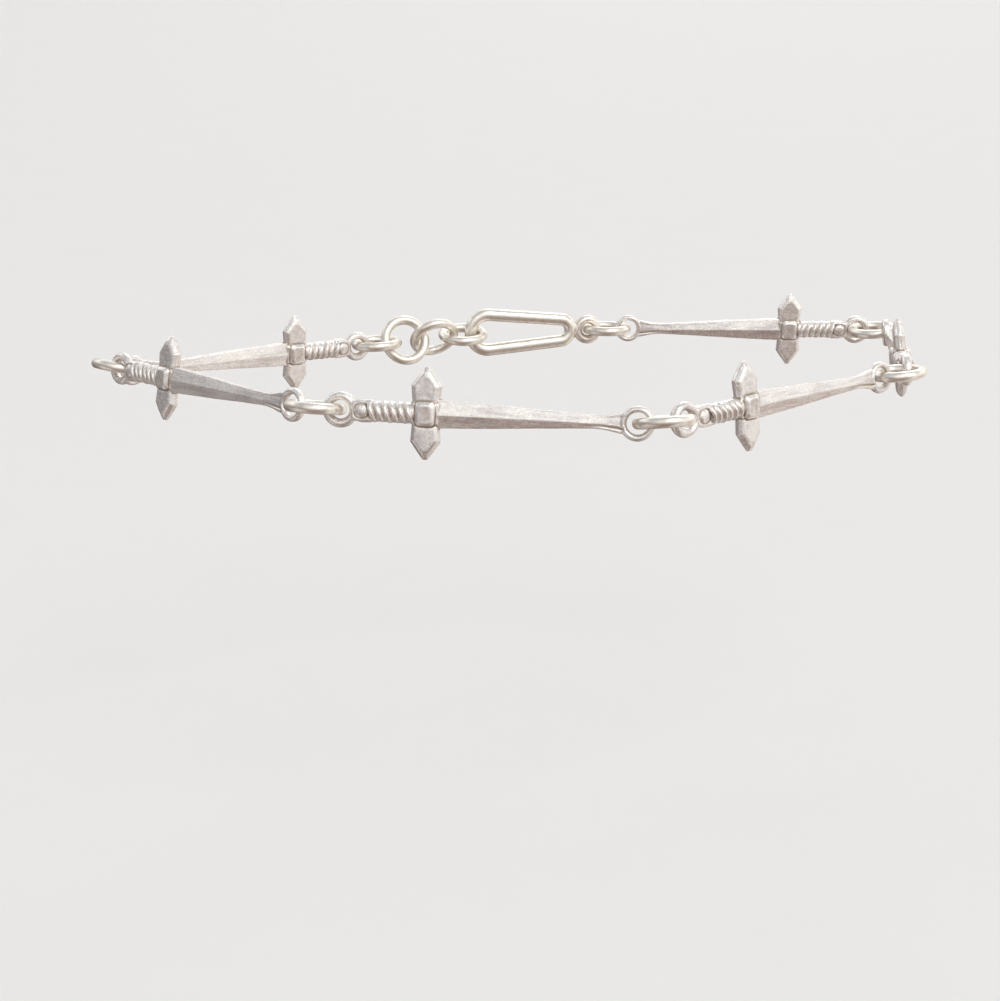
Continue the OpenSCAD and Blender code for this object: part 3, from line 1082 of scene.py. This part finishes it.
along = points_of(CASTING)[:, 0]
away_from_rings = smooth_step(*WAVES_START, along) * (1 - smooth_step(*WAVES_END, along))
for name in SWORDS:
    copy = CASTING.copy()
    copy.transform(PLACES[name])
    made_uneven(copy, RING_WAVE_SHARE + (1 - RING_WAVE_SHARE) * away_from_rings)
    lay(name, copy, CAST_SILVER)
print("swords laid:", len(SWORDS))

# %% [markdown]
# Laying the jump rings
#
# The ten rings come from the same tree as the swords' own rings, with thicker wire. Bending
# leaves wire a little uneven, so each gets half of the noise that a sword's blade gets.

# %% Lay the jump rings
RING_STEPS = 128
RING_SIDES = 32
WIRE_WAVE_SHARE = 0.5

for name in RINGS:
    ring = wire_ring(JUMP_RING, JUMP_WIRE, RING_STEPS, RING_SIDES, WIRE_SILVER)
    store(ring, "hollow", np.zeros(len(ring.vertices)))
    ring.transform(PLACES[name])
    made_uneven(ring, WIRE_WAVE_SHARE)
    lay(name, ring, WIRE_SILVER)
print("jump rings laid:", len(RINGS), "with", len(ring.polygons), "faces each")

# %% [markdown]
# The claw clasp
#
# The clasp closes the chain at the back, where it stays plain: an eye of wire and one
# rounded loop that narrows towards it. The loop follows an arc round its far end and a
# smaller one by the eye, with straight flanks that touch both.

# %% Lay the clasp
EYE = 3.3
EYE_WIRE = 1.0
CLAW_W = 5.4
CLAW_WIRE = 1.4
CLAW_NEAR_SHARE = 0.62
CLAW_SEAT = 0.25
CLAW_FAR_STEPS = 72
CLAW_NEAR_STEPS = 40
CLAW_SIDES = 32
CLAW_VOXEL = 0.09
CLAW_HOLLOW = 0.3
CLAW_WAVE_SHARE = 0.6


def claw(pitch):
    """The loop, whose far arc has its centre at pitch from the eye's."""
    far_mid = (CLAW_W - CLAW_WIRE) / 2
    near_mid = far_mid * CLAW_NEAR_SHARE
    near_x = EYE / 2 + near_mid + CLAW_WIRE * CLAW_SEAT
    taper = math.asin((far_mid - near_mid) / (pitch - near_x))
    far_half, near_half = math.pi / 2 + taper, math.pi / 2 - taper
    route = [(pitch, far_mid, angle) for angle in np.linspace(-far_half, far_half, CLAW_FAR_STEPS)]
    route += [(near_x, near_mid, math.pi + angle)
              for angle in np.linspace(-near_half, near_half, CLAW_NEAR_STEPS)]
    sections = []
    for centre, radius, angle in route:
        out = Vector((math.cos(angle), 0, math.sin(angle)))
        spot = Vector((centre, 0, 0)) + radius * out
        sections.append([
            spot + CLAW_WIRE / 2 * (math.cos(turn) * out + math.sin(turn) * Vector((0, 1, 0)))
            for turn in full_turn(CLAW_SIDES)
        ])
    return skinned(sections, ring=True)


place = placing("clasp", -EYE / 2)
run = surface_corners("clasp").reshape(-1, 3) @ (np.array(place.col[0][:3]) / MM)
claw_pitch = run.max() - run.min() - EYE / 2 - CLAW_W / 2
eye = moved(wire_ring(EYE, EYE_WIRE), STANDING)
clasp = fused(joined("clasp", [claw(claw_pitch), eye]), CLAW_VOXEL, EASE_ROUNDS)
store_relief(clasp, FINE_HOLLOW, CLAW_HOLLOW)
clasp.transform(place)
made_uneven(clasp, CLAW_WAVE_SHARE)
lay("clasp", clasp, WIRE_SILVER)
print("clasp laid:", len(clasp.polygons), "faces, far arc at", round(float(claw_pitch), 2), "mm")

# %% [markdown]
# A pale floor
#
# The bracelet is held up in the form it is worn in, so the floor is some way below it. It
# is a wide and very shallow bowl, flat in the middle, which leaves no horizon line in any
# view. The silver doesn't mirror it: the mirror image comes from the sky colours in the
# next cell, which can be steered.

# %% Lay the floor
FLOOR_Z = -0.045
FLOOR_BEND = 3.0
FLOOR_RADII = (0.1, 0.2, 0.3, 0.45, 0.6, 0.8, 1.0, 1.3, 1.6, 2.0, 2.5, 3.0)
FLOOR_TURNS = 96
FLOOR_TONE = (0.86, 0.855, 0.85)
FIBRE_SHADE = 0.985
FIBRE_LUMPS = 60.0


def floor_material():
    material, graph, shader = new_metal("floor_paper")
    spot = graph.add("ShaderNodeTexCoord").out("Object")
    fibre = cloud(graph, spot, FIBRE_LUMPS, detail=3.0)
    connect(graph, shader, roughness=0.85 + fibre * 0.1,
            base_color=blend(graph, fibre, FLOOR_TONE, tuple(FIBRE_SHADE * c for c in FLOOR_TONE)))
    return material


def bowl():
    """A disc that rises with the square of the distance from its centre."""
    shape = bmesh.new()
    centre = shape.verts.new((0, 0, FLOOR_Z))
    angles = [math.tau * i / FLOOR_TURNS for i in range(FLOOR_TURNS)]
    rings = []
    for radius in FLOOR_RADII:
        height = FLOOR_Z + radius * radius / (2 * FLOOR_BEND)
        rings.append([shape.verts.new((radius * math.cos(a), radius * math.sin(a), height))
                      for a in angles])
    for i in range(FLOOR_TURNS):
        k = (i + 1) % FLOOR_TURNS
        shape.faces.new((centre, rings[0][i], rings[0][k]))
        for inner, outer in zip(rings, rings[1:]):
            shape.faces.new((inner[i], outer[i], outer[k], inner[k]))
    mesh = as_mesh(shape, "floor")
    mesh.shade_smooth()
    mesh.materials.append(floor_material())
    return mesh


floor = bpy.data.objects.new("floor", bowl())
floor.visible_glossy = False
bpy.context.scene.collection.objects.link(floor)
print("floor at", round(FLOOR_Z / MM), "mm, with", len(floor.data.polygons), "faces")

# %% [markdown]
# Light for silver
#
# Silver shows its surroundings, so lighting it means choosing what it mirrors. A sky that
# is bright above the horizon and falls to a warm brown below it gives every blade a light
# upper slope and a dark lower one. The set darkens to the left, where the chain turns away
# into shade. Small cards, each where one kind of facet looks, set the bevels of the guards
# and the undersides of the rings apart from their neighbours. A card is a round spot of its
# own tone in the sky, with a soft rim. Two soft boxes add the shine: a strong one at the
# upper right in front, and a weaker one behind.

# %% Set the sky and the soft boxes
SKY_BY_HEIGHT = [
    (0.00, (0.26, 0.215, 0.195)),
    (0.25, (0.28, 0.225, 0.20)),
    (0.33, (0.345, 0.265, 0.235)),
    (0.415, (0.455, 0.40, 0.38)),
    (0.50, (0.60, 0.58, 0.58)),
    (0.54, (0.68, 0.665, 0.655)),
    (0.60, (0.92, 0.905, 0.885)),
    (0.72, (1.00, 0.985, 0.96)),
    (0.82, (0.80, 0.795, 0.79)),
    (0.92, (0.56, 0.56, 0.565)),
    (1.00, (0.50, 0.50, 0.51)),
]
SKY_BY_SIDE = [
    (0.00, (0.34, 0.335, 0.345)),
    (0.20, (0.46, 0.455, 0.46)),
    (0.36, (0.82, 0.82, 0.82)),
    (0.65, (0.82, 0.82, 0.82)),
    (1.00, (1.00, 0.99, 0.97)),
]
SKY_STRENGTH = 1.45
CARDS = [
    # degrees to the right of the front, degrees up, inner and outer radius in degrees, tone
    (-66, -36, 14, 30, (0.52, 0.49, 0.475)),
    (-110, -60, 10, 26, (0.34, 0.315, 0.30)),
    (-100, -20, 8, 18, (0.26, 0.24, 0.235)),
    (-128, 34, 10, 20, (0.90, 0.89, 0.88)),
    (-93, 31, 6, 12, (0.95, 0.94, 0.93)),
    (-158, 8, 7, 14, (0.38, 0.37, 0.35)),
    (-35, 43, 6, 13, (0.60, 0.585, 0.58)),
    (14, 2, 8, 16, (0.54, 0.525, 0.52)),
    (62, 38, 10, 20, (0.66, 0.65, 0.64)),
    (92, 46, 12, 24, (0.50, 0.49, 0.485)),
    (86, 8, 12, 20, (0.66, 0.645, 0.63)),
    (66, -3, 8, 15, (0.70, 0.68, 0.665)),
    (70, -38, 14, 28, (0.60, 0.565, 0.535)),
    (110, -62, 10, 28, (0.50, 0.465, 0.44)),
    (138, -17, 18, 36, (0.66, 0.62, 0.58)),
]
SOFT_BOXES = [
    # name, place, size, power in watts, tint
    ("key", (0.50, -0.75, 0.90), 0.60, 3.6, (1.0, 0.975, 0.94)),
    ("rim", (0.20, 0.90, 0.90), 0.60, 1.8, (1.0, 1.0, 1.0)),
]


def towards(right, up):
    """The direction that lies so many degrees to the right of the front and up."""
    right, up = math.radians(right), math.radians(up)
    return math.sin(right) * math.cos(up), -math.cos(right) * math.cos(up), math.sin(up)


def sky():
    world = bpy.data.worlds.new("sky")
    world.use_nodes = True
    graph = Graph(world.node_tree)
    direction = graph.add("ShaderNodeTexCoord").out("Generated")
    split = graph.add("ShaderNodeSeparateXYZ", None, {"Vector": direction})
    by_height, by_side = [
        graph.add("ShaderNodeValToRGB", {"stops": stops}, {"Fac": split.out(axis) * 0.5 + 0.5})
        for stops, axis in ((SKY_BY_HEIGHT, "Z"), (SKY_BY_SIDE, "X"))
    ]
    whole = graph.add("ShaderNodeMix", {"data_type": "RGBA", "blend_type": "MULTIPLY"},
                      {0: 1.0, 6: by_height, 7: by_side}, output=2)
    for right, up, inner, outer, tone in CARDS:
        nearness = graph.add("ShaderNodeVectorMath", {"operation": "DOT_PRODUCT"},
                             {0: direction, 1: towards(right, up)}, output=1)
        share = between(graph, nearness, math.cos(math.radians(outer)), math.cos(math.radians(inner)))
        whole = blend(graph, share, whole, tone)
    background = world.node_tree.nodes["Background"]
    background.inputs["Strength"].default_value = SKY_STRENGTH
    world.node_tree.links.new(whole.socket, background.inputs["Color"])
    bpy.context.scene.world = world


def soft_box(name, place, size, power, tint):
    light = bpy.data.lights.new(name, "AREA")
    light.shape, light.size, light.energy, light.color = "SQUARE", size, power, tint
    box = bpy.data.objects.new(name, light)
    box.location = place
    box.rotation_euler = (-Vector(place)).to_track_quat("-Z", "Y").to_euler()
    box.visible_camera = False
    bpy.context.scene.collection.objects.link(box)


sky()
for row in SOFT_BOXES:
    soft_box(*row)
bpy.context.scene.view_settings.view_transform = "Standard"
print("soft boxes:", len(SOFT_BOXES))

# %% [markdown]
# The camera
#
# The photograph was taken from in front and a little above, close enough for the ends of
# the loop to turn visibly away. Its focal length is known in pixels, and divided by the
# longer side of the picture it holds for a render of any size.

# %% Place the camera
CAMERA_PLACE = (-2.0 * MM, -164.11 * MM, 29.6 * MM)
CAMERA_PITCH_DOWN = 14.96
FOCAL_PIXELS = 1650
PICTURE_SIDE = 1001
SENSOR = 36.0
CLIP = (0.01, 10.0)

camera_data = bpy.data.cameras.new("camera")
camera_data.sensor_width = SENSOR
camera_data.lens = FOCAL_PIXELS * SENSOR / PICTURE_SIDE
camera_data.clip_start, camera_data.clip_end = CLIP
camera = bpy.data.objects.new("camera", camera_data)
camera.location = CAMERA_PLACE
camera.rotation_euler = (math.radians(90 - CAMERA_PITCH_DOWN), 0, 0)
bpy.context.scene.collection.objects.link(camera)
bpy.context.scene.camera = camera
print("lens in mm:", round(camera_data.lens, 1))
